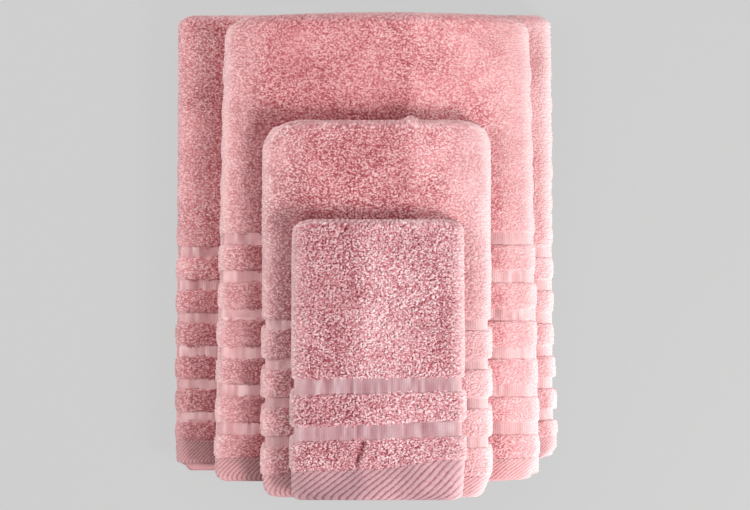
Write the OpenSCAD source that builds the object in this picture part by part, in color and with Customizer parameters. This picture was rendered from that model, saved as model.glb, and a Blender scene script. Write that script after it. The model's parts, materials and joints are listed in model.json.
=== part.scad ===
// A stack of four folded terry towels, lying flat with their hem ends together.
// Each towel has its long sides folded in to the middle, so that it is two layers thick with rounded sides.
// The two large ones are then folded in thirds and the two small ones in half, over a fold at the top.
// The origin is under the middle of the stack: +X right, +Y towards the top folds, +Z up.

/* [Cloth] */
// Thickness of two layers of terry lying together
ply_t = 9; // [8:0.5:10]
// Depth of the flat woven bands below the pile
band_sink = 1.5; // [1:0.5:2]
// How far the flat woven bands draw in at each side
band_inset = 3.5; // [2:0.5:5]
// Thickness of the corded hem, both layers together
hem_t = 6; // [5:0.5:7]
// How far the corded hem draws in at each side
hem_inset = 2; // [1:0.5:4]
// Width of a line of sewing thread
thread_w = 0.8; // [0.5:0.1:1.2]
// Height of a line of sewing thread above the cloth
thread_h = 0.5; // [0.3:0.1:0.8]

/* [Stack] */
// Length of the whole stack, from the top folds to the lowest hem end
stack_l = 488; // [480:1:500]
// Gap between an opening panel and the fold that it turns round
hinge_gap = 0.3; // [0.2:0.1:0.5]
// How far a top hem reaches past the layers under it
hem_reach = 5; // [3:1:8]

/* [Bath sheet] */
// Folded width
sheet_w = 382; // [372:2:392]
// Folded length
sheet_l = 455; // [445:1:465]
// Distance of its top fold from the top of the stack
sheet_drop = 1; // [0:1:5]
// Number of flat bands
sheet_bands = 6; // [4:1:6]
// Distance from the hem end to the middle of the first flat band
sheet_first = 47; // [45:1:50]
// Distance between flat bands
sheet_pitch = 33.4; // [30:0.1:35]
// Height of a flat band
sheet_band_h = 10.5; // [8:0.5:12]
// Height of the corded hem
sheet_hem_h = 24; // [20:1:26]

/* [Bath towel] */
// Folded width
bath_w = 318; // [310:2:326]
// Folded length
bath_l = 472; // [465:1:478]
// Sideways place of its middle
bath_x = 12.5; // [0:0.5:15]
// Number of flat bands
bath_bands = 6; // [4:1:6]
// Distance from the hem end to the middle of the first flat band
bath_first = 53; // [50:1:56]
// Distance between flat bands
bath_pitch = 38.1; // [34:0.1:39]
// Height of a flat band
bath_band_h = 12; // [9:0.5:14]
// Height of the corded hem
bath_hem_h = 24; // [20:1:26]

/* [Hand towel] */
// Folded width
hand_w = 231; // [224:1:238]
// Folded length
hand_l = 377; // [370:1:384]
// Sideways place of its middle
hand_x = 12; // [0:0.5:15]
// Distance of its hem end from the end of the stack
hand_lift = 1.5; // [0:0.5:5]
// Number of flat bands
hand_bands = 4; // [3:1:5]
// Distance from the hem end to the middle of the first flat band
hand_first = 55; // [52:1:58]
// Distance between flat bands
hand_pitch = 38.9; // [34:0.1:40]
// Height of a flat band
hand_band_h = 10.5; // [8:0.5:12]
// Height of the corded hem
hand_hem_h = 22; // [18:1:24]

/* [Guest towel] */
// Folded width
guest_w = 175; // [168:1:182]
// Folded length
guest_l = 279; // [272:1:286]
// Sideways place of its middle
guest_x = 13.5; // [0:0.5:15]
// Number of flat bands
guest_bands = 2; // [1:1:3]
// Distance from the hem end to the middle of the first flat band
guest_first = 68; // [64:1:72]
// Distance between flat bands
guest_pitch = 45.5; // [40:0.5:50]
// Height of a flat band
guest_band_h = 15; // [12:0.5:17]
// Height of the corded hem
guest_hem_h = 32; // [28:1:34]

/* [Hidden] */
$fn = 48;
terry = [0.86, 0.58, 0.60];
weave = [0.80, 0.63, 0.66];
cord = [0.78, 0.58, 0.62];
cotton = [0.90, 0.68, 0.70];

// A towel is its name, number of panels, width, length, place of its middle, place of its hem end,
// height it lies at, number of flat bands, place of the first, pitch, band height and hem height.
NAME = 0;
PANELS = 1;
W = 2;
L = 3;
X = 4;
Y = 5;
Z = 6;
BANDS = 7;
FIRST = 8;
PITCH = 9;
BAND_H = 10;
HEM_H = 11;

half_l = stack_l / 2;
bath_z = 3 * ply_t;
hand_z = bath_z + 3 * ply_t;
guest_z = hand_z + 2 * ply_t;

SHEET = ["sheet", 3, sheet_w, sheet_l, 0, half_l - sheet_drop - sheet_l, 0,
    sheet_bands, sheet_first, sheet_pitch, sheet_band_h, sheet_hem_h];
BATH = ["bath", 3, bath_w, bath_l, bath_x, half_l - bath_l, bath_z,
    bath_bands, bath_first, bath_pitch, bath_band_h, bath_hem_h];
HAND = ["hand", 2, hand_w, hand_l, hand_x, hand_lift - half_l, hand_z,
    hand_bands, hand_first, hand_pitch, hand_band_h, hand_hem_h];
GUEST = ["guest", 2, guest_w, guest_l, guest_x, -half_l, guest_z,
    guest_bands, guest_first, guest_pitch, guest_band_h, guest_hem_h];
THIRDS = [SHEET, BATH];
TOWELS = [SHEET, BATH, HAND, GUEST];

ANY_FOLD = ["base_panel", "top_fold", "under_stripes", "under_bands", "under_hem", "under_thread",
    "top_panel", "pile_stripes", "flat_bands", "hem", "hem_thread"];
THIRDS_ONLY = ["bottom_fold", "inner_panel"];

// Everything below is in a towel's own frame: y runs from its top hem's end, z from its underside.
// The top fold turns about a line at mid height, and the lower layers meet it at a flat joint.
function fold_r(t) = t[PANELS] * ply_t / 2;
function fold_y(t) = t[L] - fold_r(t);
function joint_y(t) = fold_y(t) - fold_r(t) - 1;
function top_z(t) = (t[PANELS] - 1) * ply_t;
function folded_in_thirds(t) = t[PANELS] == 3;
function bottom_fold_y(t) = hem_reach + ply_t;

// An end of the cloth has its hem, then pile stripes and flat bands by turns, then open terry.
function band_near(t, i) = t[FIRST] + i * t[PITCH] - t[BAND_H] / 2;
function band_far(t, i) = band_near(t, i) + t[BAND_H];
function stripe_near(t, i) = i == 0 ? t[HEM_H] : band_far(t, i - 1);
function border_h(t) = band_far(t, t[BANDS] - 1);

// The lower end of the cloth lies under the top hem on a towel folded in half. On one folded in
// thirds it is tucked inside, the other way round, and reaches the top fold.
function under_end(t) = folded_in_thirds(t) ? joint_y(t) : hem_reach;
function under_way(t) = folded_in_thirds(t) ? -1 : 1;
function under_z(t) = folded_in_thirds(t) ? ply_t : 0;

module place(t) translate([t[X], t[Y], t[Z]]) children();

// Section of a folded layer: flat, with round sides
module rounded_section(width, thick) {
    square([width - thick, thick], center = true);
    for (side = [-1, 1])
        translate([side * (width - thick) / 2, 0])
            circle(d = thick);
}

// A length of folded cloth between two places along the towel
module layer(width, thick, from, to, z) {
    translate([0, max(from, to), z + thick / 2])
        rotate([90, 0, 0])
            linear_extrude(abs(to - from))
                rounded_section(width, thick);
}

// A roll of cloth across the towel, with soft shoulders at its two ends
module roll(width, radius) {
    shoulder = ply_t / 2;
    rotate([0, 90, 0])
        rotate_extrude() {
            translate([0, -width / 2])
                square([radius - shoulder, width]);
            translate([0, shoulder - width / 2])
                square([radius, width - 2 * shoulder]);
            for (side = [-1, 1])
                translate([radius - shoulder, side * (width / 2 - shoulder)])
                    circle(r = shoulder);
        }
}

// Pieces of one end of the cloth, measured from that end in the given direction
module stripes(t, end, way, z) {
    for (i = [0 : t[BANDS] - 1])
        layer(t[W], ply_t, end + way * stripe_near(t, i), end + way * band_near(t, i), z);
}

module bands(t, end, way, z) {
    for (i = [0 : t[BANDS] - 1])
        layer(t[W] - 2 * band_inset, ply_t - 2 * band_sink,
            end + way * band_near(t, i), end + way * band_far(t, i), z + band_sink);
}

module hem_strip(t, end, way, z)
    layer(t[W] - 2 * hem_inset, hem_t, end, end + way * t[HEM_H], z + (ply_t - hem_t) / 2);

module thread_line(t, end, way, z)
    translate([0, end + way * (t[HEM_H] - 3), z + thread_h / 2])
        cube([t[W] - 2 * hem_inset - hem_t, thread_w, thread_h], center = true);

// The panel that everything else of the towel lies on
module base_panel(t)
    color(terry) place(t)
        layer(t[W], ply_t, folded_in_thirds(t) ? bottom_fold_y(t) : hem_reach + border_h(t), joint_y(t), 0);

// The roll at the top, which the upper panel turns round
module top_fold(t)
    color(terry) place(t)
        union() {
            translate([0, fold_y(t), fold_r(t)])
                roll(t[W], fold_r(t));
            layer(t[W], ply_t, joint_y(t), fold_y(t), 0);
        }

// The roll at the hem end, where a towel folded in thirds turns back inside
module bottom_fold(t)
    color(terry) place(t)
        translate([0, bottom_fold_y(t), ply_t])
            intersection() {
                roll(t[W], ply_t);
                translate([-t[W], -2 * ply_t, -ply_t])
                    cube([2 * t[W], 2 * ply_t, 2 * ply_t]);
            }

module inner_panel(t)
    color(terry) place(t)
        layer(t[W], ply_t, bottom_fold_y(t), joint_y(t) - border_h(t), ply_t);

module under_stripes(t) color(terry) place(t) stripes(t, under_end(t), under_way(t), under_z(t));

module under_bands(t) color(weave) place(t) bands(t, under_end(t), under_way(t), under_z(t));

module under_hem(t) color(cord) place(t) hem_strip(t, under_end(t), under_way(t), under_z(t));

// The stitching is on the cloth's outer face, which faces down on a towel folded in half.
module under_thread(t)
    color(cotton) place(t)
        thread_line(t, under_end(t), under_way(t), folded_in_thirds(t)
            ? under_z(t) + (ply_t + hem_t) / 2
            : (ply_t - hem_t) / 2 - thread_h);

// The open terry of the upper panel, with a hollow end that turns round the top fold
module top_panel(t)
    color(terry) place(t)
        difference() {
            layer(t[W], ply_t, border_h(t), fold_y(t), top_z(t));
            translate([0, fold_y(t), fold_r(t)])
                rotate([0, 90, 0])
                    cylinder(h = 2 * t[W], r = fold_r(t) + hinge_gap, center = true);
        }

module pile_stripes(t) color(terry) place(t) stripes(t, 0, 1, top_z(t));

module flat_bands(t) color(weave) place(t) bands(t, 0, 1, top_z(t));

module hem(t) color(cord) place(t) hem_strip(t, 0, 1, top_z(t));

module hem_thread(t) color(cotton) place(t) thread_line(t, 0, 1, top_z(t) + (ply_t + hem_t) / 2);

for (t = TOWELS) {
    base_panel(t);
    top_fold(t);
    under_stripes(t);
    under_bands(t);
    under_hem(t);
    under_thread(t);
    top_panel(t);
    pile_stripes(t);
    flat_bands(t);
    hem(t);
    hem_thread(t);
}
for (t = THIRDS) {
    bottom_fold(t);
    inner_panel(t);
}
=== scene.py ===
import json
import math

import bpy
import numpy as np
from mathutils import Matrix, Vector


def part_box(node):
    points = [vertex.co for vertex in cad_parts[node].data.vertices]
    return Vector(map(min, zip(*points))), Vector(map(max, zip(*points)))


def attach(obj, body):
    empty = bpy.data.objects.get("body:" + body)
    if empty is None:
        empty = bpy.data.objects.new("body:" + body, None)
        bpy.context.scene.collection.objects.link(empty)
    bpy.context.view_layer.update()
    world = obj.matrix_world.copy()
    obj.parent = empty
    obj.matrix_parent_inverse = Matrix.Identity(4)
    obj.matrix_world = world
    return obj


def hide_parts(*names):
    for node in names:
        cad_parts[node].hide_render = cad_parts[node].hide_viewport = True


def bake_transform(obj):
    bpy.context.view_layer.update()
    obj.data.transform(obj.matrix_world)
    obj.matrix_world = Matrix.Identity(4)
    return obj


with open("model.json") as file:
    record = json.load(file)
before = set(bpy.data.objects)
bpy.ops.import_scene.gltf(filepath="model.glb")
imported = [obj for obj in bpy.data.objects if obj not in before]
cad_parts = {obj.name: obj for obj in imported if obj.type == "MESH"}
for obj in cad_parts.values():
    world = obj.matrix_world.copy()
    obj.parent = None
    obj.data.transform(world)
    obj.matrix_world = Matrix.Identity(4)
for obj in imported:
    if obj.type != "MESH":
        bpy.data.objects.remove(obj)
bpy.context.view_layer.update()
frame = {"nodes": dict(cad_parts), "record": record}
MM = 0.001

# ---------------------------------------------------------------------------------------------
# Each towel is one cloth. Its long sides are folded in to the middle, which makes a strip two
# layers thick, and the strip is folded over the top in half or in thirds. The mesh below follows
# that cloth: stations run along the strip from the top hem's end, columns run across it, round
# both side folds, and the pile, flat bands and corded hems are modelled on its outer face.
# All lengths are in millimetres until the mesh is written.
# ---------------------------------------------------------------------------------------------
LAYER_GAP = 0.4              # clearance of a folded layer from the next one
BLEND_HALF = 0.3             # half height of the zone where the cloth turns from body to body
BODY_GAP = 0.02              # how far outside that zone each body's layers are kept
FLAT_T = 3.2                 # half thickness of the flat bands, both layers together
HEM_HALF_T = 3.2             # half thickness of the corded hem, both layers together
PILE_EDGE = 3.0              # how far in from a flat band the pile reaches its full height
HEM_END = 2.6                # how far in from the very end the hem reaches its full thickness
HEM_TIP = 0.03               # square of the hem's thickness at its very end, as a share
LINING_SHARE = 0.86          # how much of its half thickness the cloth itself can take up
SIDE_MARGIN = 1.0            # how far inside the CAD's width the sides lie
BULGE_REACH = 9.0            # how far from a stripe's edge it stands out fully
FLAP_GAP = 0.8               # half the gap between the two side flaps where they meet
NOWHERE = (1e9, 1e9)         # a stretch that holds no part of the towel
FAR_AWAY = 1e9               # a distance with nothing near
PILE, BAND, HEM = 0, 1, 2    # what a patch of cloth is

ROW_GAP = 0.35               # regular rows closer than this to a fixed one are left out
FOLD_ROWS = 13               # rows of the mesh round the small fold of a towel folded in thirds
TURN_ROWS = 11               # rows where the cloth turns from body to body
EDGE_ROWS = (-0.7, 0, 0.7)   # rows beside each edge of the border
END_ROWS = (0, 0.25, 0.8, 1.6, 2.6)   # rows beside each end of the cloth
SIDE_POINTS = 17             # points round a side fold
COVERED_STEP = 4.5           # step across the face where another towel always covers it
INNER_STEP = 12.0            # step across the face of the cloth's inner side
FINE_STEP = 2.0              # the mesh carries the loops of the pile where its steps are shorter

LOOP_REACH = (-2, -1, 0, 1, 2)   # neighbouring cells that a loop can reach into
LOOP_JITTER = 0.8
LOOP_RADIUS = 0.46
LOOP_BEND = 0.35

STITCH_PITCH = 3.4           # spacing of the hem stitches
STITCH_IN = 1.8              # how far in from the hem's edge they are
STITCH_END = 9.0             # how far in from the towel's sides they stop
STITCH_LIFT = 0.25           # how far a stitch's middle stands off the cloth
STITCH_SIDES = 6
STITCH_SHAPE = ((-1.15, 0.12), (-0.8, 0.36), (0, 0.45), (0.8, 0.36), (1.15, 0.12))  # place, radius


def ends(node, axis):
    """Where the node starts and ends along an axis, in millimetres."""
    low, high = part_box(node)
    return low[axis] / MM, high[axis] / MM


def steps_of(node, axis):
    """The separate stretches of a node made of several solids, in order along an axis."""
    at = sorted({round(v.co[axis] / MM, 2) for v in frame["nodes"][node].data.vertices})
    return list(zip(at[0::2], at[1::2]))


def straight(y_start, z, way):
    """A flat stretch of a strip's middle line, laid along y one way or the other."""
    def place(d):
        return y_start + way * d, z + 0 * d, 0 * d, way + 0 * d
    return place


class Towel:
    """The measures of one folded towel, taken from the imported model."""

    def __init__(self, name, seed, grain, looks):
        self.name = name
        self.seed = seed
        self.grain = grain
        self.looks = looks
        left, right = ends(f"{name}_top_panel", 0)
        self.x = (left + right) / 2
        self.half_w = (right - left) / 2
        self.y_end = ends(f"{name}_hem", 1)[0]
        self.y_top = ends(f"{name}_top_fold", 1)[1]
        self.z0, z1 = ends(f"{name}_base_panel", 2)
        self.ply = z1 - self.z0
        self.thirds = f"{name}_bottom_fold" in frame["nodes"]
        self.panels = 3 if self.thirds else 2
        self.z_face = self.z0 + (self.panels - 1) * self.ply
        self.r_out = self.panels * self.ply / 2
        self.r_mid = self.r_out - self.ply / 2
        self.fold_y = self.y_top - self.r_out
        self.hem_h = ends(f"{name}_hem", 1)[1] - self.y_end
        self.bands = [(a - self.y_end, b - self.y_end) for a, b in steps_of(f"{name}_flat_bands", 1)]
        self.border = self.bands[-1][1]
        if self.thirds:
            self.turn_y = ends(f"{name}_bottom_fold", 1)[1]
            self.last_y = ends(f"{name}_under_hem", 1)[1]
        else:
            self.last_y = ends(f"{name}_under_hem", 1)[0]
        self.make_path()

    def make_path(self):
        """The strip's middle line, as stretches of (length, function of the distance along it)."""
        z_top = self.z_face + self.ply / 2
        z_low = self.z0 + self.ply / 2
        low_end = self.turn_y if self.thirds else self.last_y
        parts = [
            (self.fold_y - self.y_end, straight(self.y_end, z_top, 1)),
            (math.pi * self.r_mid, self.over_the_top),
            (self.fold_y - low_end, straight(self.fold_y, z_low, -1)),
        ]
        if self.thirds:
            parts.append((math.pi * self.ply / 2, self.round_the_bottom))
            parts.append((self.last_y - self.turn_y, straight(self.turn_y, z_low + self.ply, 1)))
        self.parts = parts
        self.starts = np.concatenate([[0], np.cumsum([length for length, _ in parts])])
        self.length = float(self.starts[-1])

    def over_the_top(self, d):
        turn = d / self.r_mid
        y = self.fold_y + self.r_mid * np.sin(turn)
        z = self.z0 + self.r_out + self.r_mid * np.cos(turn)
        return y, z, np.sin(turn), np.cos(turn)

    def round_the_bottom(self, d):
        r = self.ply / 2
        turn = d / r
        y = self.turn_y - r * np.sin(turn)
        z = self.z0 + r + r - r * np.cos(turn)
        return y, z, -np.sin(turn), -np.cos(turn)

    def at(self, p):
        """The strip's middle (y, z) and its outer face's direction (y, z) at each distance p."""
        out = np.zeros((4, len(p)))
        for k, (_, place) in enumerate(self.parts):
            inside = (p >= self.starts[k]) & (p <= self.starts[k + 1])
            out[:, inside] = np.array(place(p[inside] - self.starts[k]))
        return out


def smooth(t):
    t = np.clip(t, 0, 1)
    return t * t * (3 - 2 * t)


def rounding(into, radius):
    """How far a rounded corner draws in, at a distance into the corner."""
    into = np.clip(into, 0, radius * 0.995)
    return radius - np.sqrt(radius * radius - into * into)


def hash2(i, j, seed):
    """Repeatable random numbers from 0 to 1 for whole-number cells."""
    n = (i.astype(np.int64) * 374761393 + j.astype(np.int64) * 668265263 + seed * 1442695041) & 0xFFFFFFFF
    n = ((n ^ (n >> 13)) * 1274126177) & 0xFFFFFFFF
    n = n ^ (n >> 16)
    return (n & 0xFFFFFF) / float(0x1000000)


def value_noise(u, v, cell, seed):
    """Smooth noise from -1 to 1."""
    gu, gv = u / cell, v / cell
    i, j = np.floor(gu), np.floor(gv)
    a, b = smooth(gu - i), smooth(gv - j)
    corner = [[hash2(i + m, j + n, seed) for n in (0, 1)] for m in (0, 1)]
    low = corner[0][0] * (1 - b) + corner[0][1] * b
    high = corner[1][0] * (1 - b) + corner[1][1] * b
    return 2 * (low * (1 - a) + high * a) - 1


def loops(u, v, pitch, seed):
    """Height from 0 to 1 of a pile of short twisted loops, each a round-backed bar lying its own way."""
    gu, gv = u / pitch, v / pitch
    i0, j0 = np.floor(gu), np.floor(gv)
    best = np.zeros_like(u)
    for di in LOOP_REACH:
        for dj in LOOP_REACH:
            i, j = i0 + di, j0 + dj
            cu = i + 0.5 + LOOP_JITTER * (hash2(i, j, seed) - 0.5)
            cv = j + 0.5 + LOOP_JITTER * (hash2(i, j, seed + 1) - 0.5)
            way = math.pi * hash2(i, j, seed + 2)
            half = 0.05 + 0.40 * hash2(i, j, seed + 3)
            lift = 0.45 + 0.55 * hash2(i, j, seed + 4)
            c, s = np.cos(way), np.sin(way)
            du, dv = gu - cu, gv - cv
            along = du * c + dv * s
            bend = LOOP_BEND * (hash2(i, j, seed + 5) - 0.5)
            across = -du * s + dv * c + bend * along * along
            over = np.clip(np.abs(along) - half, 0, None)
            near = np.sqrt(over * over + across * across) / LOOP_RADIUS
            shape = np.sqrt(np.clip(1 - near * near, 0, 1))
            best = np.maximum(best, shape * lift)
    return best


def stations(t):
    """Distances along the strip where the mesh has a row."""
    def even(k, step):
        """Evenly spaced rows along stretch k."""
        span = t.starts[k + 1] - t.starts[k]
        return np.linspace(t.starts[k], t.starts[k + 1], int(span / step) + 1)

    coarse = t.looks["under_grain"]
    # The outer face of the top fold is longer than its middle line.
    round_top = int(math.pi * t.r_out / t.grain) + 1
    rows = [np.arange(0, t.starts[1], t.grain)]
    rows.append(np.linspace(t.starts[1], t.starts[2], round_top))
    rows.append(even(2, coarse))
    if t.thirds:
        rows.append(np.linspace(t.starts[3], t.starts[4], FOLD_ROWS))
        rows.append(even(4, coarse))

    # Rows that have to be there: at the turn from body to body, the edges of the border and the ends
    turn = math.asin(max(-1, min(1, (t.z_face - t.z0 - t.r_out) / (t.r_out - LAYER_GAP))))
    middle = t.starts[1] + (math.pi / 2 - turn) * t.r_mid
    dense = 1.6 * BLEND_HALF / t.r_out * t.r_mid
    fixed = [np.linspace(middle - dense, middle + dense, TURN_ROWS)]
    for edge in [b for band in t.bands for b in band] + [t.hem_h]:
        near = edge + np.array(EDGE_ROWS)
        fixed += [near, t.length - near]
    near_end = np.array(END_ROWS)
    fixed = np.concatenate([*fixed, near_end, t.length - near_end])
    rows = np.concatenate(rows)
    rows = rows[np.abs(rows[:, None] - fixed[None, :]).min(1) > ROW_GAP]
    return np.unique(np.concatenate([rows, fixed]))


def sections(t, p):
    """For each row: distance from the nearest end, from the nearest flat band, and from the hem."""
    s = np.minimum(p, t.length - p)
    gap = np.full(len(p), FAR_AWAY)
    for low, high in t.bands:
        gap = np.minimum(gap, -np.minimum(s - low, high - s))
    return s, gap, s - t.hem_h


def kind_of(gap, hem_gap):
    return np.where(hem_gap <= 0, HEM, np.where(gap <= 0, BAND, PILE))


def pile_height(gap, hem_gap):
    """From 0 in the flat bands and hem to 1 where the pile stands at its full height."""
    near = np.clip(np.minimum(gap, hem_gap) / PILE_EDGE, 0, 1)
    return np.sqrt(np.clip(1 - (1 - near) ** 2, 0, 1))


def half_widths(t, p, s, gap, hem_gap, pile, outer_y, hem_round):
    """The strip's half width to the left and right of its middle at each row."""
    looks = t.looks
    hem_inset = looks["hem_inset"] + 1.5 * (1 - hem_round)
    inset = np.where(hem_gap <= 0, hem_inset, looks["band_inset"] * (1 - pile))
    from_hem = np.where(hem_gap > 0, hem_gap, FAR_AWAY)
    middle = np.clip(np.minimum(gap, from_hem) / BULGE_REACH, 0, 1)
    bulge = looks["bulge"] * np.sqrt(middle) * (s < t.border)
    along = (t.y_top - outer_y) / (t.y_top - t.y_end)
    half = {}
    for side, key in ((-1, "left"), (1, "right")):
        top, end = looks[f"top_{key}"], looks[f"end_{key}"]
        drawn = rounding(outer_y - (t.y_top - top), top) + rounding(end - s, end) * (s < end)
        drawn = drawn + looks[f"taper_{key}"] * np.clip(1 - s / t.hem_h, 0, 1)
        wave = value_noise(p * 0 + side * 31.0, p, 46, t.seed)
        wave += 0.5 * value_noise(p * 0 + side * 77.0, p, 17, t.seed + 3)
        width = t.half_w - SIDE_MARGIN - inset - drawn + looks["wave"] * wave
        half[side] = width + looks["flare"] * (along - 0.5) + bulge
    return half


def face_columns(t, edge):
    """Shares of the way across the face, close together except where another towel always covers it."""
    at, stop = [-t.half_w + edge], t.half_w - edge
    low, high = t.looks["covered"]
    while at[-1] < stop:
        hidden = low < at[-1] + t.x < high
        at.append(at[-1] + (COVERED_STEP if hidden else t.grain))
    at = np.array(at)
    return (at - at[0]) / (at[-1] - at[0])


def outline(t, half, up, down, grow, face, n_flap, angles):
    """(x, height) across the strip at each row: flap, side fold, face, side fold, flap.

    grow draws the outline in from the cloth's outer face, to give its inner face.
    """
    hu, hd = (up - grow)[:, None], (down - grow)[:, None]
    edge = t.looks["edge"] - grow[:, None]
    left, right = (half[-1] - grow)[:, None], (half[1] - grow)[:, None]
    seam = t.looks["seam"] - t.x
    flap = np.linspace(0, 1, n_flap + 1)[None, :-1]
    lift = np.sin(angles)[None, :]
    draw = 1 - np.cos(angles)[None, :]
    height = np.where(lift > 0, hu * lift, hd * lift)
    x_left, x_right = -left + edge * draw, (right - edge * draw)[:, ::-1]
    flap_left = seam - FLAP_GAP + (-left + edge - seam + FLAP_GAP) * flap
    flap_right = (seam + FLAP_GAP + (right - edge - seam - FLAP_GAP) * flap)[:, ::-1]
    top = (edge - left) + (left + right - 2 * edge) * face[None, 1:-1]
    x = np.concatenate([flap_left, x_left, top, x_right, flap_right], 1)
    below = -hd + 0 * flap
    h = np.concatenate([below, height, hu + 0 * top, height[:, ::-1], below], 1)
    return x, h


def relief(t, u, v, s, gap, hem_gap, fine):
    """Height of the cloth's outer face over its smooth shape, and its tone from crevice 0 to tip 1, which
    paints shade into the crevices between the loops and light and shade onto the pleats.
    """
    looks = t.looks
    # The pile's edge beside a flat band wanders, each edge in its own way
    edge = np.round(v / 9.0)
    ragged = value_noise(u, edge * 50.0, 2.4, t.seed + 50)
    ragged = fine * looks["ragged"] * (ragged + value_noise(u, edge * 70.0, 9.0, t.seed + 51))
    gap2, hem2 = gap[:, None] + ragged, hem_gap[:, None] + 0.6 * ragged
    kind, pile = kind_of(gap2, hem2), pile_height(gap2, hem2)
    warp_u = u + 1.0 * value_noise(u, v, 5.0, t.seed + 11)
    warp_v = v + 1.0 * value_noise(u, v, 5.0, t.seed + 12)
    tuft = loops(warp_u, warp_v, looks["loop"], t.seed)
    clump = value_noise(u, v, 7.0, t.seed + 20)
    soft = 0.4 * clump + 0.6 * value_noise(u, v, 24.0, t.seed + 21)
    height = (looks["depth"] * (tuft - 0.75) * fine + 0.3 * soft) * pile
    # Painted shade: the pile's tone is dark in the crevices between the loops and pale on their tips.
    tone = 0.60 + 0.8 * looks["crisp"] * (tuft - 0.62) * fine + 0.05 * clump

    # The flat bands are drawn up into small pleats, with painted light and shade on them: lighter on the
    # ridges, darker in the folds
    strip = 40 * np.round(v / 30)
    pleat = value_noise(u, v * 0.25 + strip, 3.6, t.seed + 30)
    pleat = pleat + 0.7 * value_noise(u, v * 0.2 + strip, 8.0, t.seed + 32)
    pleat = pleat * (0.3 + 0.7 * np.abs(value_noise(u, strip, 30.0, t.seed + 31)))
    height = np.where(kind == BAND, 0.6 * pleat, height)
    tone = np.where(kind == BAND, 0.52 + 0.42 * pleat, tone)

    # The hem's cords lie at a slant that grows away from its end
    lay = s[:, None]
    sway = 0.8 * value_noise(u, v, 14.0, t.seed + 40)
    phase = (u - looks["lean"] * lay - 0.004 * lay * lay + sway) / looks["cord"]
    cord = np.abs(np.sin(math.pi * phase)) ** 0.45
    ease = np.clip(lay / HEM_END, 0, 1)
    height = np.where(kind == HEM, 1.15 * (cord - 0.8) * ease, height)
    return height, np.clip(tone, 0, 1), kind, phase


def strip_heights(t, s, hem_gap, pile, full):
    """Heights of the strip's faces over and under its middle line, and how full its hem is."""
    hem_round = np.sqrt(np.clip(1 - (1 - np.clip(s / HEM_END, 0, 1)) ** 2, HEM_TIP, 1))
    in_hem = hem_gap <= 0
    flat = np.where(in_hem, HEM_HALF_T * hem_round, FLAT_T)
    thick = flat + (full - flat) * pile
    sunk = t.looks["sunk"] * (full - FLAT_T) * (1 - pile) * np.where(in_hem, hem_round, 1)
    return thick - sunk, thick + 0.2 * sunk, hem_round


def place(t, path, x, h, s, upper):
    """The points of a face, from their place across the strip and their height over its middle."""
    y, z, ny, nz = path
    pts = np.zeros((*x.shape, 3))
    pts[..., 0] = t.x + x
    pts[..., 1] = y[:, None] + ny[:, None] * h
    pts[..., 2] = z[:, None] + nz[:, None] * h
    t.looks["shape"](t, pts, h, s[:, None], upper[:, None])
    return pts


def outward(out):
    """Unit normals of the outer face, and -1 where the grid's own order turns them inwards."""
    normal = np.cross(np.gradient(out, axis=1), np.gradient(out, axis=0))
    normal /= np.linalg.norm(normal, axis=2, keepdims=True) + 1e-12
    facing = np.sign(normal[len(out) // 6, out.shape[1] // 2, 2])
    return normal * facing, facing


def cloth_plan(p, out):
    """Distance across and along the cloth, and 1 where the mesh is fine enough for the loops."""
    rows = len(p)
    step = np.linalg.norm(np.diff(out, axis=1), axis=2)[rows // 4]
    u = np.concatenate([[0], np.cumsum(step)])[None, :] + np.zeros((rows, 1))
    u -= u[:, [out.shape[1] // 2]]
    v = p[:, None] + 0 * u
    fine_u = smooth(3 - np.gradient(u[0]) / FINE_STEP * 2)[None, :]
    fine_v = smooth(3 - np.gradient(p) / FINE_STEP * 2)[:, None]
    return u, v, fine_u * fine_v


def paleness(t, out, to_side, kind, u, v):
    """How much paler the cloth is painted, from 0 up: most at its top fold and its sides, partly the paler
    fluff of the pile at the folds and partly painted sheen and light, stronger on the right.
    """
    looks = t.looks
    uneven = 1 + 0.3 * value_noise(u, v, 11.0, t.seed + 60)
    rim = 0.48 * smooth(1 - (t.y_top - out[..., 1]) / (looks["rim"] * uneven))
    pale = {-1: np.where(kind == PILE, looks["pale_left"], 0.45), 1: looks["pale_right"]}
    for side in (-1, 1):
        near = 0.6 * smooth(1 - to_side[side] / (looks["rim"] * uneven))
        glow = 0.4 * smooth(1 - to_side[side] / (looks["glow"] * uneven))
        rim = np.maximum(rim, pale[side] * (near + glow))
    return rim


def cloth_mesh(t, out, inn, kind, facing):
    """One closed loop of points at each row, with the two ends of the cloth closed across."""
    ring = np.concatenate([out, inn[:, ::-1]], 1)
    rows, n_ring = ring.shape[:2]
    n_out = out.shape[1]
    index = np.arange(rows * n_ring).reshape(rows, n_ring)
    a, b = index[:-1], index[1:]
    quads = np.stack([a, np.roll(a, -1, 1), np.roll(b, -1, 1), b], -1).reshape(-1, 4)
    inside = np.repeat(np.median(kind, 1)[:, None], n_ring - n_out, 1)
    corners = np.concatenate([kind, inside], 1).astype(int).reshape(-1)[quads]
    same = np.all(corners == corners[:, :1], axis=1)
    material = np.where(same, corners[:, 0], PILE)
    caps = cap_faces(index[0], n_out, share_along(out[0]), share_along(inn[0]), False)
    caps += cap_faces(index[-1], n_out, share_along(out[-1]), share_along(inn[-1]), True)
    material = np.concatenate([material, np.full(len(caps), HEM)])

    mesh = bpy.data.meshes.new(f"{t.name}_cloth")
    faces = quads[:, ::-1] if facing > 0 else quads
    mesh.from_pydata((ring.reshape(-1, 3) * MM).tolist(), [], faces.tolist() + caps)
    mesh.update()
    mesh.polygons.foreach_set("material_index", material.astype(np.int32))
    mesh.polygons.foreach_set("use_smooth", np.ones(len(mesh.polygons), bool))
    return mesh


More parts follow.
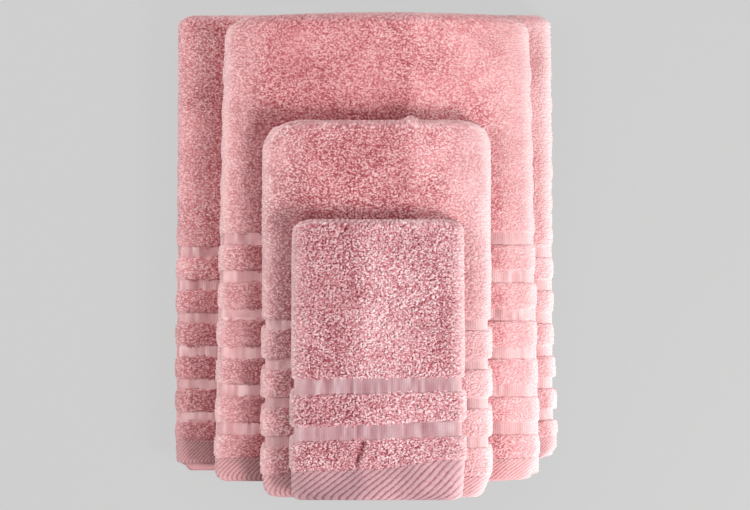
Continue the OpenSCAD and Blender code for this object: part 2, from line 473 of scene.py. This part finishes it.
def store(mesh, name, values, inside, n_inside):
    """Keeps a value at each outer point, and one constant at the inner ones, for the materials."""
    rest = np.full((len(values), n_inside), inside)
    layer = mesh.attributes.new(name, "FLOAT", "POINT")
    layer.data.foreach_set("value", np.concatenate([values, rest], 1).reshape(-1).astype(np.float32))


def build(t):
    """Makes the cloth, and returns it with what its stitches are laid on."""
    looks = t.looks
    p = stations(t)
    s, gap, hem_gap = sections(t, p)
    pile = pile_height(gap, hem_gap)
    path = t.at(p)
    full = t.ply / 2 - LAYER_GAP
    upper = p < t.starts[1] + 0.5 * math.pi * t.r_mid
    up, down, hem_round = strip_heights(t, s, hem_gap, pile, full)
    outer_y = path[0] + path[2] * full
    half = half_widths(t, p, s, gap, hem_gap, pile, outer_y, hem_round)

    # The cloth's outer and inner face
    turns = np.linspace(-math.pi / 2, math.pi / 2, SIDE_POINTS)
    face = face_columns(t, looks["edge"])
    n_flap = int(t.half_w / looks["flap_grain"])
    x_out, h_out = outline(t, half, up, down, np.zeros(len(p)), face, n_flap, turns)
    ply_t = np.minimum(full - LAYER_GAP, np.minimum(up, down) * LINING_SHARE)
    few = np.linspace(0, 1, int(t.half_w / INNER_STEP))
    n_lining = int(t.half_w / looks["lining_grain"])
    x_in, h_in = outline(t, half, up, down, ply_t, few, n_lining, turns[::4])
    out = place(t, path, x_out, h_out, s, upper)
    inn = place(t, path, x_in, h_in, s, upper)

    normal, facing = outward(out)
    u, v, fine = cloth_plan(p, out)
    height, tone, kind, phase = relief(t, u, v, s, gap, hem_gap, fine)
    to_side = {-1: x_out + half[-1][:, None], 1: half[1][:, None] - x_out}
    # Painted sheen and light at the rim, with the paler fluff of the pile at the folds.
    rim = paleness(t, out, to_side, kind, u, v)

    # Faces that lie on another layer are only ever pressed in, so that the layers stay apart.
    inner_face = h_out < -0.5 * down[:, None]
    height = np.where(inner_face, np.minimum(height * 0.6 - 0.4, 0), height)
    out = out + normal * height[..., None]
    keep_apart(t, p, out)
    keep_apart(t, p, inn)
    mesh = cloth_mesh(t, out, inn, kind, facing)

    # What the materials need to know at each point
    # Painted light and shade across each towel, with the pile's uneven tone: lighter where the light
    # falls, darker in painted shadows and shade.
    nap = looks["nap"](out[..., 0], out[..., 1], v)
    # The painted shade between the loops is weaker in a strip on the right and where the painted light is
    # strong.
    soft = smooth(1 - to_side[1] / looks["soft"])
    lit = 1 - looks["washed"] * np.clip(nap, 0, 1)
    patchy = 1 + 0.3 * value_noise(u, v, 28.0, t.seed + 70)
    crisp = looks["crisp"] * patchy * (1 - 0.6 * soft) * lit
    tone = np.where(kind == PILE, 0.60 + (tone - 0.60) * lit, tone)
    painted = (("pile", tone, 0.35), ("across", u, 0), ("along", v, 0), ("rim", rim, 0), ("nap", nap, 0),
               ("cord", phase, 0.5), ("crisp", crisp, 0.6), ("mauve", looks["mauve"], 0))
    for name, values, inside in painted:
        store(mesh, name, values + 0 * u, inside, inn.shape[1])
    return add_piece(f"{t.name}_cloth", mesh), (p, u, out, normal)


def add_piece(name, data):
    """Puts a mesh, light or camera into the scene."""
    obj = bpy.data.objects.new(name, data)
    bpy.context.scene.collection.objects.link(obj)
    return obj


def keep_apart(t, p, pts):
    """Keeps the panel that turns with the upper body clear above the layer it lies on."""
    above, below = p <= t.starts[1], p >= t.starts[2]
    pts[above, :, 2] = np.maximum(pts[above, :, 2], t.z_face + BLEND_HALF + BODY_GAP)
    pts[below, :, 2] = np.minimum(pts[below, :, 2], t.z_face - BLEND_HALF - BODY_GAP)


def stitch(centre, up, way, base):
    """One stitch, a short bar that tapers to its ends; base is the number of its first point."""
    side = np.cross(up, way)
    verts, faces = [], []
    for d, r in STITCH_SHAPE:
        for a in np.linspace(0, 2 * math.pi, STITCH_SIDES + 1)[:-1]:
            verts.append(centre + way * d + r * (np.cos(a) * up + np.sin(a) * side))
    for j in range(len(STITCH_SHAPE) - 1):
        for m in range(STITCH_SIDES):
            a = base + STITCH_SIDES * j + m
            b = base + STITCH_SIDES * j + (m + 1) % STITCH_SIDES
            faces.append([a, b, b + STITCH_SIDES, a + STITCH_SIDES])
    last = base + STITCH_SIDES * (len(STITCH_SHAPE) - 1)
    faces.append([base + m for m in range(STITCH_SIDES)][::-1])
    faces.append([last + m for m in range(STITCH_SIDES)])
    return verts, faces


def sew(t, laid, far, name):
    """A row of short stitches across the hem, just inside its edge, at the near or the far end."""
    p, u, out, normal = laid
    at = t.length - t.hem_h + STITCH_IN if far else t.hem_h - STITCH_IN
    row = int(np.argmin(np.abs(p - at)))
    last = out.shape[1] - 1
    face = np.abs(u[row]) < t.half_w - (STITCH_END - 1)
    verts, faces = [], []
    for middle in np.arange(-t.half_w + STITCH_END, t.half_w - STITCH_END, STITCH_PITCH):
        k = int(np.searchsorted(u[row], middle))
        if not face[min(k, last)]:
            continue
        up = normal[row, k]
        way = out[row, min(k + 2, last)] - out[row, k - 2]
        way = way / np.linalg.norm(way)
        one = stitch(out[row, k] + STITCH_LIFT * up, up, way, len(verts))
        verts += one[0]
        faces += one[1]
    mesh = bpy.data.meshes.new(name)
    mesh.from_pydata([tuple(c * MM) for c in verts], [], faces)
    mesh.polygons.foreach_set("use_smooth", np.ones(len(mesh.polygons), bool))
    return add_piece(name, mesh)


def share_along(row):
    """How far along a row of points each one is, from 0 to 1."""
    far = np.concatenate([[0], np.cumsum(np.linalg.norm(np.diff(row[:, ::2], axis=0), axis=1))])
    return far / far[-1]


def cap_faces(ring, n_out, outer_at, inner_at, flip):
    """Triangles that close the thin band between the outer and inner face at an end."""
    outer, inner = [int(k) for k in ring[:n_out]], [int(k) for k in ring[n_out:][::-1]]
    last_o, last_i = len(outer) - 1, len(inner) - 1
    faces = []
    i = j = 0
    while i < last_o or j < last_i:
        if j == last_i or (i < last_o and outer_at[i + 1] <= inner_at[j + 1]):
            face = [outer[i], outer[i + 1], inner[j]]
            i += 1
        else:
            face = [outer[i], inner[j + 1], inner[j]]
            j += 1
        faces.append(face if flip else face[::-1])
    return faces


# ---------------------------------------------------------------------------------------------
# Large shape of each towel: how its top face slopes and where its hem ends run out of line.
# Each shape function is given the towel, the points it moves, their height over the strip's middle,
# their distance from the nearest end of the cloth, and where the upper body is.
# ---------------------------------------------------------------------------------------------
CREST = 48.0             # x of the line that the bath and hand towel's faces fall away from
GUEST_CREST = -3.0       # the same line of the guest towel
SHEET_CREST = 150.0      # and of the bath sheet


def press(t, pts, rise):
    """Lifts or lowers the top panel's face, more the higher a point is in the panel."""
    share = np.clip((pts[..., 2] - t.z_face) / t.ply, 0, None)
    pts[..., 2] += share * rise


def shape_sheet(t, pts, h, s, upper):
    x, y = pts[..., 0], pts[..., 1]
    rise = -1.8 * smooth((np.abs(x) - 176) / 18) + 1.0 * smooth((-150 - x) / 14)
    rise = rise + 0.8 * value_noise(x, y, 60, 5)
    press(t, pts, rise)
    # The hem's lower layer shows past the upper one on the left. On the right the hem is drawn up,
    # and the border runs out sideways.
    near_end = np.exp(-s / 38) * upper
    flap = (h < 0) * smooth((x + 184) / 7) * smooth((90 - x) / 40)
    pts[..., 1] -= 7.0 * near_end * flap
    pts[..., 1] += 9.0 * near_end * smooth((x - 160) / 26)
    pts[..., 0] += 4.5 * upper * smooth((x - 150) / 30) * smooth((-60 - y) / 150)


def shape_bath(t, pts, h, s, upper):
    x, y = pts[..., 0], pts[..., 1]
    slope = -0.020 * softplus(CREST - x, 5) - 0.040 * softplus(x - CREST, 5)
    open_top = smooth((y - 128) / 26)
    at_side = smooth((-112 - x) / 20) + smooth((x - 134) / 20)
    sloped = np.maximum(open_top, 0.8 * np.clip(at_side, 0, 1))
    rise = slope * sloped + 1.6 * np.clip(at_side + open_top, 0, 1)
    rise = rise + 0.7 * value_noise(x, y, 55, 9)
    press(t, pts, rise)
    near_end = np.exp(-s / 30) * upper
    pts[..., 1] += 2.0 * near_end * smooth((x - 120) / 50)
    # The fold at the top is a little crowned
    near_top = smooth((y - (t.y_top - 60)) / 60)
    pts[..., 1] -= near_top * 6.0 * ((x - 20) / t.half_w) ** 2


def shape_hand(t, pts, h, s, upper):
    x, y = pts[..., 0], pts[..., 1]
    slope = -0.022 * softplus(CREST - x, 4) - 0.045 * softplus(x - CREST, 4)
    open_top = smooth((y - 30) / 24)
    at_side = smooth((-80 - x) / 12) + smooth((x - 106) / 12)
    sloped = np.maximum(open_top, 0.8 * np.clip(at_side, 0, 1))
    rise = slope * sloped + 1.6 * np.clip(at_side + open_top, 0, 1)
    rise = rise + 0.6 * value_noise(x, y, 45, 12)
    press(t, pts, rise)
    # A small tuft stands up at the top edge
    near_top = smooth((y - (t.y_top - 14)) / 14)
    pts[..., 1] += near_top * 4.5 * np.exp(-(((x - 47) / 7) ** 2))


def guest_crumple(t, x, y):
    """The crumple at the top fold: a dent from 0 to 1, and the swelling beside it."""
    dx, dy = x + 19, y - (t.y_top - 11)
    dent = np.exp(-(((dx - 0.9 * dy) / 3.2) ** 2)) * np.exp(-((dy / 9) ** 2))
    swell = np.exp(-(((dx - 7 - 0.9 * dy) / 4.0) ** 2)) * np.exp(-((dy / 9) ** 2))
    return dent, swell


def guest_crease(x, s):
    """Where the last stripe is nipped in over the edges of the flaps under it, from 0 to 1."""
    off = x + 5 - 0.29 * (s - 47) + 0.8 * value_noise(x, s, 5, 90)
    return np.exp(-((off / 3.4) ** 2)) * smooth((s - 33) / 7) * smooth((63 - s) / 7)


def shape_guest(t, pts, h, s, upper):
    x, y = pts[..., 0], pts[..., 1]
    rise = -0.024 * softplus(GUEST_CREST - x, 4) - 0.030 * softplus(x - GUEST_CREST, 4) + 1.0
    rise = rise + 0.7 * value_noise(x, y, 38, 15)
    press(t, pts, rise)
    # A small crumple at the top fold, and a crease in the last stripe where the flaps meet under it
    dent, swell = guest_crumple(t, x, y)
    press(t, pts, 0.4 * swell - 2.6 * dent - 2.6 * guest_crease(x, s) * upper)
    # The border runs up a little towards the right
    border = smooth((140 - s) / 60) * smooth(s / 30)
    pts[..., 1] += 6.5 * border * upper * ((x - t.x) / (2 * t.half_w))
    hem_edge = np.exp(-(((s - t.hem_h) / 13) ** 2)) * smooth(s / 24)
    pts[..., 1] += 6.0 * hem_edge * upper * smooth((x - 10) / 70)


def softplus(x, width):
    return width * np.log1p(np.exp(np.clip(x / width, -30, 30)))


def blotches_and_light(x, v, crest, left, right, seed, border):
    """Blotches of the pile's own uneven tone, with painted light and shade: darker left of a crest and
    lighter right of it, where the light falls, and shifted in the border, darker on most towels and
    lighter on the hand towel. Below 0 it looks darker.
    """
    blotch = 0.24 * value_noise(x, v, 34, seed) + 0.14 * value_noise(x, v, 13, seed + 1)
    sides = left + (right - left) * smooth((x - crest + 9) / 18)
    return blotch + sides + border * smooth((180 - v) / 60)


def beside(name, x, y, reach):
    """1 at the left and top edges of the towel that lies on this one, and 0 far away: where the painted
    shadow of that towel falls.
    """
    left, right = ends(f"{name}_top_panel", 0)
    top = ends(f"{name}_top_fold", 1)[1]
    away = np.hypot(np.clip(left - x, 0, None), np.clip(y - top, 0, None))
    return np.exp(-((away / reach) ** 2)) * smooth((right - x) / 90)


def spot(x, y, x_mid, y_mid, wide, high):
    """A soft oval patch, 1 in its middle."""
    return np.exp(-(((x - x_mid) / wide) ** 2) - ((y - y_mid) / high) ** 2)


def sheet_tone_and_light(x, y, v):
    tone_with_light = blotches_and_light(x, v, SHEET_CREST, left=0.20, right=0.60, seed=61, border=-0.48)
    # Painted shadow of the bath towel lying on the sheet.
    return tone_with_light - 0.30 * beside("bath", x, y, reach=12)


def bath_tone_and_light(x, y, v):
    tone_with_light = blotches_and_light(x, v, CREST, left=-0.08, right=0.44, seed=62, border=-0.08)
    # Painted shadow of the hand towel lying on the bath towel.
    return tone_with_light - 0.50 * beside("hand", x, y, reach=16)


def hand_tone_and_light(x, y, v):
    tone_with_light = blotches_and_light(x, v, CREST, left=-0.06, right=0.40, seed=63, border=0.26)
    # Painted shadow of the guest towel lying on the hand towel.
    return tone_with_light - 0.55 * beside("guest", x, y, reach=13)


def guest_tone_and_light(x, y, v):
    tone_with_light = blotches_and_light(x, v, GUEST_CREST, left=0.10, right=0.44, seed=64, border=-0.14)
    # Painted shade in the crease of the last stripe.
    tone_with_light = tone_with_light - 1.1 * guest_crease(x, v)
    tone_with_light = tone_with_light - 0.40 * spot(x, y, 80, -54, 14, 35) - 0.50 * spot(x, y, 50, 14, 30, 13)
    return tone_with_light + 0.26 * spot(x, y, 14, -45, 20, 45) - 0.40 * spot(x, y, -28, -76, 13, 30)


# What the towels have in common, in millimetres unless it is a share. A towel can have its own.
COMMON = dict(
    under_grain=7.0,         # step of the mesh's rows where the cloth is under the top panel
    flap_grain=6.0,          # step of its points on the side flaps
    lining_grain=24.0,       # the same on the flaps' inner side
    edge=10.0,               # width of the side folds
    taper_left=0.0,          # how far the hem's left end draws in
    taper_right=0.0,
    band_inset=3.6,          # how far the flat bands draw in at the sides
    hem_inset=2.2,
    bulge=1.2,               # how far the stripes between them stand out
    wave=0.5,                # how far the sides wander
    sunk=0.9,                # how far the flat bands lie below the pile, as a share
    ragged=1.1,              # how far the pile's edges wander
    # The pale rim and the weaker glow inside it are painted sheen and light, with the paler fluff of the
    # pile at the folds.
    rim=13.0,                # width of the pale rim at the sides and the top fold
    glow=52.0,               # width of the weaker paleness inside it
    pale_left=0.9,           # strength of that paleness on the left
    pale_right=1.3,
    soft=40.0,               # width of the strip on the right where the loops show less
    # This share fades the painted shade between the loops where the painted light is strong.
    washed=0.75,             # how much contrast the light pile loses, as a share
)

# Of each towel: seed of its noise, step of its mesh, pitch and depth of its loops and how clear they
# are, its share of the mauve cast, where its side flaps meet, pitch and slant of its hem's cords,
# radius of its corners, how much wider it is at the hem, and the stretch that is always covered.
LOOKS = {
    "sheet": dict(
        seed=101, grain=1.05, lining_grain=6.0, covered=(-134, 146),
        loop=2.0, depth=0.9, crisp=0.62, mauve=0.0, pale_left=0.5, pale_right=1.5,
        seam=6.0, cord=3.9, lean=0.9,
        top_left=12, top_right=11, end_left=5, end_right=14, flare=3.0,
        shape=shape_sheet, nap=sheet_tone_and_light,
    ),
    "bath": dict(
        seed=202, grain=1.1, covered=NOWHERE,
        loop=2.0, depth=0.9, crisp=0.54, mauve=0.0, glow=60.0, pale_left=1.0, pale_right=1.2,
        seam=48.0, cord=4.7, lean=0.9,
        top_left=25, top_right=20, end_left=12, end_right=5, taper_right=9.0, flare=11.0,
        shape=shape_bath, nap=bath_tone_and_light,
    ),
    "hand": dict(
        seed=303, grain=0.95, covered=NOWHERE,
        loop=2.0, depth=1.3, crisp=0.66, mauve=0.3, glow=56.0, pale_right=1.35, soft=60.0,
        seam=48.0, cord=5.4, lean=0.95,
        top_left=34, top_right=27, end_left=12, end_right=6, flare=1.0,
        taper_left=3.0, taper_right=10.0,
        shape=shape_hand, nap=hand_tone_and_light,
    ),
    "guest": dict(
        seed=404, grain=0.75, covered=NOWHERE,
        loop=2.3, depth=2.1, crisp=0.58, mauve=1.0, ragged=1.7, washed=0.2,
        rim=7.0, glow=20.0, pale_right=0.95, soft=8.0,
        seam=-3.0, cord=8.7, lean=1.15,
        top_left=13, top_right=10, end_left=9, end_right=8, taper_right=2.5, flare=2.0,
        shape=shape_guest, nap=guest_tone_and_light,
    ),
}


# ---------------------------------------------------------------------------------------------
# Materials. nt is always the material's node tree.
# ---------------------------------------------------------------------------------------------
MIX_FACTOR, MIX_A, MIX_B = 0, 6, 7   # inputs of a Mix node for colours
MIX_RESULT = 2                       # its output


def new_material(name):
    m = bpy.data.materials.new(name)
    m.use_nodes = True
    return m, m.node_tree, m.node_tree.nodes["Principled BSDF"]


def node(nt, kind, **settings):
    n = nt.nodes.new(kind)
    for key, value in settings.items():
        if key in n.inputs:
            n.inputs[key].default_value = value
        else:
            setattr(n, key, value)
    return n


def attribute(nt, name):
    n = nt.nodes.new("ShaderNodeAttribute")
    n.attribute_name = name
    return n.outputs["Fac"]


def ramp(nt, source, stops):
    n = nt.nodes.new("ShaderNodeValToRGB")
    elements = n.color_ramp.elements
    elements[0].position, elements[0].color = stops[0][0], (*stops[0][1], 1)
    elements[1].position, elements[1].color = stops[-1][0], (*stops[-1][1], 1)
    for at, colour in stops[1:-1]:
        elements.new(at).color = (*colour, 1)
    nt.links.new(source, n.inputs["Fac"])
    return n.outputs["Color"]


def bump(nt, shader, height, strength, distance):
    n = node(nt, "ShaderNodeBump", Strength=strength, Distance=distance)
    nt.links.new(height, n.inputs["Height"])
    nt.links.new(n.outputs["Normal"], shader.inputs["Normal"])


def cloth_finish(shader, sheen, tint):
    shader.inputs["Roughness"].default_value = 0.95
    shader.inputs["Specular IOR Level"].default_value = 0.15
    shader.inputs["Sheen Weight"].default_value = sheen
    shader.inputs["Sheen Roughness"].default_value = 0.45
    shader.inputs["Sheen Tint"].default_value = (*tint, 1)


def math_node(nt, operation, *values):
    n = nt.nodes.new("ShaderNodeMath")
    n.operation = operation
    for k, value in enumerate(values):
        if isinstance(value, (int, float)):
            n.inputs[k].default_value = value
        else:
            nt.links.new(value, n.inputs[k])
    return n.outputs[0]


def blend_colours(nt, how, factor, first, second):
    n = nt.nodes.new("ShaderNodeMix")
    n.data_type, n.blend_type = "RGBA", how
    for key, value in ((MIX_FACTOR, factor), (MIX_A, first), (MIX_B, second)):
        if isinstance(value, bpy.types.NodeSocket):
            nt.links.new(value, n.inputs[key])
        else:
            n.inputs[key].default_value = value if key == MIX_FACTOR else (*value, 1)
    return n.outputs[MIX_RESULT]


def shade(nt, colour, amount, scale, seed, detail=2.0):
    """Colour made lighter and darker by soft noise."""
    where = nt.nodes.new("ShaderNodeTexCoord")
    noise = node(nt, "ShaderNodeTexNoise", noise_dimensions="4D", Scale=scale, Detail=detail, W=seed)
    nt.links.new(where.outputs["Object"], noise.inputs["Vector"])
    spread = node(nt, "ShaderNodeMapRange")
    spread.inputs["From Min"].default_value = 0.3
    spread.inputs["From Max"].default_value = 0.7
    spread.inputs["To Min"].default_value = 1 - amount
    spread.inputs["To Max"].default_value = 1 + amount
    nt.links.new(noise.outputs["Fac"], spread.inputs["Value"])
    return blend_colours(nt, "MULTIPLY", 1.0, colour, spread.outputs["Result"])


def mauve_cast(nt, colour, cast):
    """The plain cloth's own darker, bluer pink, where the towel has it."""
    return blend_colours(nt, "MULTIPLY", attribute(nt, "mauve"), colour, cast)


def pale_rim_and_sheen(nt, colour, share, pale):
    """Paler at the rim of the towel: the pile's paler fluff at the folds, and painted sheen and light."""
    return blend_colours(nt, "MIX", math_node(nt, "MULTIPLY", attribute(nt, "rim"), share), colour, pale)


def cloth_point(nt, warp, cell):
    """A place on the cloth in millimetres across and along it, pushed about by noise."""
    flat = nt.nodes.new("ShaderNodeCombineXYZ")
    nt.links.new(math_node(nt, "MULTIPLY", attribute(nt, "across"), 0.75), flat.inputs[0])
    nt.links.new(attribute(nt, "along"), flat.inputs[1])
    noise = node(nt, "ShaderNodeTexNoise", Scale=1 / cell, Detail=1.0)
    nt.links.new(flat.outputs[0], noise.inputs["Vector"])
    push = nt.nodes.new("ShaderNodeVectorMath")
    push.operation = "MULTIPLY_ADD"
    push.inputs[1].default_value = (warp, warp, 0)
    nt.links.new(noise.outputs["Color"], push.inputs[0])
    nt.links.new(flat.outputs[0], push.inputs[2])
    return push.outputs[0]


def knobs(nt, where, pitch):
    """Round backs of single loops, 1 at their middles and about 0 between them."""
    cells = node(nt, "ShaderNodeTexVoronoi", Scale=1 / pitch)
    nt.links.new(where, cells.inputs["Vector"])
    back = nt.nodes.new("ShaderNodeMapRange")
    back.interpolation_type = "SMOOTHSTEP"
    back.inputs["From Min"].default_value = 0.78
    back.inputs["From Max"].default_value = 0.30
    nt.links.new(cells.outputs["Distance"], back.inputs["Value"])
    return back.outputs["Result"]


def make_terry():
    m, nt, shader = new_material("terry_pile")
    # Painted shade between the loops: the knobs make the pile darker between single loops, and they also
    # bump it.
    knob = knobs(nt, cloth_point(nt, warp=2.6, cell=3.2), pitch=1.6)
    detail = math_node(nt, "MULTIPLY", math_node(nt, "SUBTRACT", knob, 0.68), attribute(nt, "crisp"))
    level = math_node(nt, "ADD", attribute(nt, "pile"), detail)
    # Painted light and shade across the towel, with the pile's uneven tone, make the ramp paler and the
    # colour brighter where it is lit, and darker where it is shaded.
    level = math_node(nt, "ADD", level, math_node(nt, "MULTIPLY", attribute(nt, "nap"), 0.22))
    # The ramp runs from the dark red of the painted shade in the crevices to the pale tips of the loops.
    colour = ramp(nt, level, [
        (0.02, (0.31, 0.06, 0.075)),
        (0.36, (0.52, 0.175, 0.19)),
        (0.68, (0.66, 0.325, 0.34)),
        (1.0, (0.80, 0.57, 0.58)),
    ])
    tone_with_light = math_node(nt, "MULTIPLY_ADD", attribute(nt, "nap"), 0.20, 1.0)
    colour = blend_colours(nt, "MULTIPLY", 1.0, colour, tone_with_light)
    colour = mauve_cast(nt, colour, (0.90, 1.07, 1.10))
    colour = pale_rim_and_sheen(nt, colour, share=0.60, pale=(0.91, 0.69, 0.70))
    colour = shade(nt, colour, amount=0.05, scale=900, seed=1.0, detail=3.0)
    nt.links.new(colour, shader.inputs["Base Color"])
    bump(nt, shader, knob, strength=0.6, distance=0.0009)
    cloth_finish(shader, sheen=0.7, tint=(1.0, 0.74, 0.75))
    return m


def wave_of(nt, name, pitch):
    """Stripes from 0 to 1 along an attribute that holds millimetres."""
    turn = math_node(nt, "MULTIPLY", attribute(nt, name), 2 * math.pi / pitch)
    return math_node(nt, "MULTIPLY_ADD", math_node(nt, "SINE", turn), 0.5, 0.5)


def make_weave():
    m, nt, shader = new_material("plain_weave")
    # Painted light and shade on the pleats: the flat bands' tone follows their pleats.
    base = ramp(nt, attribute(nt, "pile"), [
        (0.15, (0.44, 0.19, 0.20)),
        (0.5, (0.63, 0.345, 0.36)),
        (0.9, (0.80, 0.55, 0.56)),
    ])
    along = wave_of(nt, "along", pitch=1.7)
    across = wave_of(nt, "across", pitch=1.8)
    yarns = math_node(nt, "MULTIPLY_ADD", along, 0.5, across)
    tint = node(nt, "ShaderNodeMapRange")
    tint.inputs["From Max"].default_value = 1.5
    tint.inputs["To Min"].default_value = 0.89
    tint.inputs["To Max"].default_value = 1.07
    nt.links.new(yarns, tint.inputs["Value"])
    colour = blend_colours(nt, "MULTIPLY", 1.0, base, tint.outputs["Result"])
    colour = mauve_cast(nt, colour, (0.67, 0.71, 0.75))
    colour = shade(nt, colour, amount=0.08, scale=60, seed=3.0)
    colour = pale_rim_and_sheen(nt, colour, share=0.6, pale=(0.83, 0.60, 0.61))
    nt.links.new(colour, shader.inputs["Base Color"])
    bump(nt, shader, yarns, strength=0.4, distance=0.0005)
    cloth_finish(shader, sheen=0.45, tint=(1.0, 0.80, 0.82))
    return m


def make_cord():
    m, nt, shader = new_material("corded_hem")
    turn = math_node(nt, "MULTIPLY", attribute(nt, "cord"), math.pi)
    cord = math_node(nt, "POWER", math_node(nt, "ABSOLUTE", math_node(nt, "SINE", turn)), 0.5)
    uneven = node(nt, "ShaderNodeTexNoise", Scale=1 / 2.6, Detail=2.0)
    nt.links.new(cloth_point(nt, warp=0.8, cell=1.7), uneven.inputs["Vector"])
    wear = math_node(nt, "MULTIPLY", math_node(nt, "SUBTRACT", uneven.outputs["Fac"], 0.45), 0.8)
    # Painted shade: the ramp darkens the grooves between the cords, and the uneven noise is the yarn's own
    # tone.
    colour = ramp(nt, math_node(nt, "ADD", cord, wear), [
        (0.15, (0.31, 0.075, 0.085)),
        (0.6, (0.50, 0.20, 0.215)),
        (1.0, (0.66, 0.355, 0.37)),
    ])
    # Painted light and shade across the towel, with the pile's uneven tone, brighten and darken the hem.
    tone_with_light = math_node(nt, "MULTIPLY_ADD", attribute(nt, "nap"), 0.50, 0.84)
    colour = blend_colours(nt, "MULTIPLY", 1.0, colour, tone_with_light)
    colour = mauve_cast(nt, colour, (0.74, 0.86, 0.92))
    colour = shade(nt, colour, amount=0.12, scale=700, seed=4.0)
    colour = shade(nt, colour, amount=0.08, scale=40, seed=5.0)
    colour = pale_rim_and_sheen(nt, colour, share=0.55, pale=(0.86, 0.62, 0.63))
    nt.links.new(colour, shader.inputs["Base Color"])
    yarn = knobs(nt, cloth_point(nt, warp=0.6, cell=2.0), pitch=1.1)
    yarn = math_node(nt, "MULTIPLY", yarn, 0.3)
    bump(nt, shader, math_node(nt, "ADD", cord, yarn), strength=0.5, distance=0.0006)
    cloth_finish(shader, sheen=0.4, tint=(1.0, 0.86, 0.88))
    return m


def make_thread():
    m, nt, shader = new_material("sewing_thread")
    where = nt.nodes.new("ShaderNodeTexCoord")
    twist = node(nt, "ShaderNodeTexWave", Scale=700.0, Distortion=1.5)
    nt.links.new(where.outputs["Object"], twist.inputs["Vector"])
    colour = ramp(nt, twist.outputs["Fac"], [(0.1, (0.46, 0.22, 0.245)), (0.9, (0.66, 0.38, 0.41))])
    nt.links.new(colour, shader.inputs["Base Color"])
    bump(nt, shader, twist.outputs["Fac"], strength=0.4, distance=0.0001)
    shader.inputs["Roughness"].default_value = 0.6
    return m


MATERIALS = [make_terry(), make_weave(), make_cord()]
THREAD = make_thread()


def make_towel(name, own):
    """A towel's cloth, and its two rows of stitches, each row on the body that it moves with."""
    looks = {**COMMON, **own}
    towel = Towel(name, looks.pop("seed"), looks.pop("grain"), looks)
    cloth, laid = build(towel)
    for m in MATERIALS:
        cloth.data.materials.append(m)
    lower, upper = f"{name}_lower", f"{name}_upper"
    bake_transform(cloth)
    bodies = frame["record"]["behaviour"]["bodies"]
    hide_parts(*[n for n in bodies[lower] + bodies[upper] if "thread" not in n])
    for far, body, thread in ((False, upper, f"{name}_hem_thread"), (True, lower, f"{name}_under_thread")):
        row = sew(towel, laid, far, f"{thread}_stitches")
        row.data.materials.append(THREAD)
        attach(row, body)
        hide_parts(thread)


for name, own in LOOKS.items():
    make_towel(name, own)


# ---------------------------------------------------------------------------------------------
# Floor, light and camera
# ---------------------------------------------------------------------------------------------
FLOOR_REACH = 6.0
FLOOR_GLOW = 0.56                   # keeps the floor an even pale grey
SKY_STRENGTH = 0.50
CAMERA_AT = (0.0105, -0.001, 3.0)   # straight above the stack, a little off its middle
CAMERA_LENS = 141.12
CAMERA_SENSOR = 36.0
LIGHTS = (                          # name, place, watts, size, colour
    ("key", (1.05, -0.72, 0.82), 26, 0.55, (1.0, 0.97, 0.955)),
    ("fill", (-1.55, 0.5, 1.2), 23, 1.5, (1.0, 0.94, 0.925)),
    ("back", (-0.3, 1.5, 0.7), 6, 1.2, (1.0, 0.93, 0.92)),
)


def add_floor():
    r = FLOOR_REACH
    mesh = bpy.data.meshes.new("floor")
    mesh.from_pydata([(-r, -r, 0), (r, -r, 0), (r, r, 0), (-r, r, 0)], [], [(0, 1, 2, 3)])
    floor = add_piece("floor", mesh)
    m, _, shader = new_material("floor_paint")
    shader.inputs["Base Color"].default_value = (0.05, 0.05, 0.05, 1)
    shader.inputs["Roughness"].default_value = 1.0
    shader.inputs["Specular IOR Level"].default_value = 0.0
    shader.inputs["Emission Color"].default_value = (1, 1, 1, 1)
    shader.inputs["Emission Strength"].default_value = FLOOR_GLOW
    mesh.materials.append(m)


def add_light(name, spot_at, power, size, colour):
    """An area light that points at the stack."""
    light = bpy.data.lights.new(name, "AREA")
    light.energy = power
    light.size = size
    light.color = colour
    lamp = add_piece(name, light)
    lamp.location = spot_at
    lamp.rotation_euler = (-Vector(spot_at)).to_track_quat("-Z", "Y").to_euler()


def add_world():
    world = bpy.data.worlds.new("studio")
    world.use_nodes = True
    sky = world.node_tree.nodes["Background"]
    sky.inputs["Color"].default_value = (1.0, 0.965, 0.955, 1)
    sky.inputs["Strength"].default_value = SKY_STRENGTH
    bpy.context.scene.world = world
    bpy.context.scene.view_settings.view_transform = "Standard"


def add_camera():
    """A camera that looks straight down at the stack, as in the photograph."""
    data = bpy.data.cameras.new("camera")
    data.sensor_width = CAMERA_SENSOR
    data.lens = CAMERA_LENS
    camera = add_piece("camera", data)
    camera.location = CAMERA_AT
    bpy.context.scene.camera = camera


add_floor()
for light in LIGHTS:
    add_light(*light)
add_world()
add_camera()
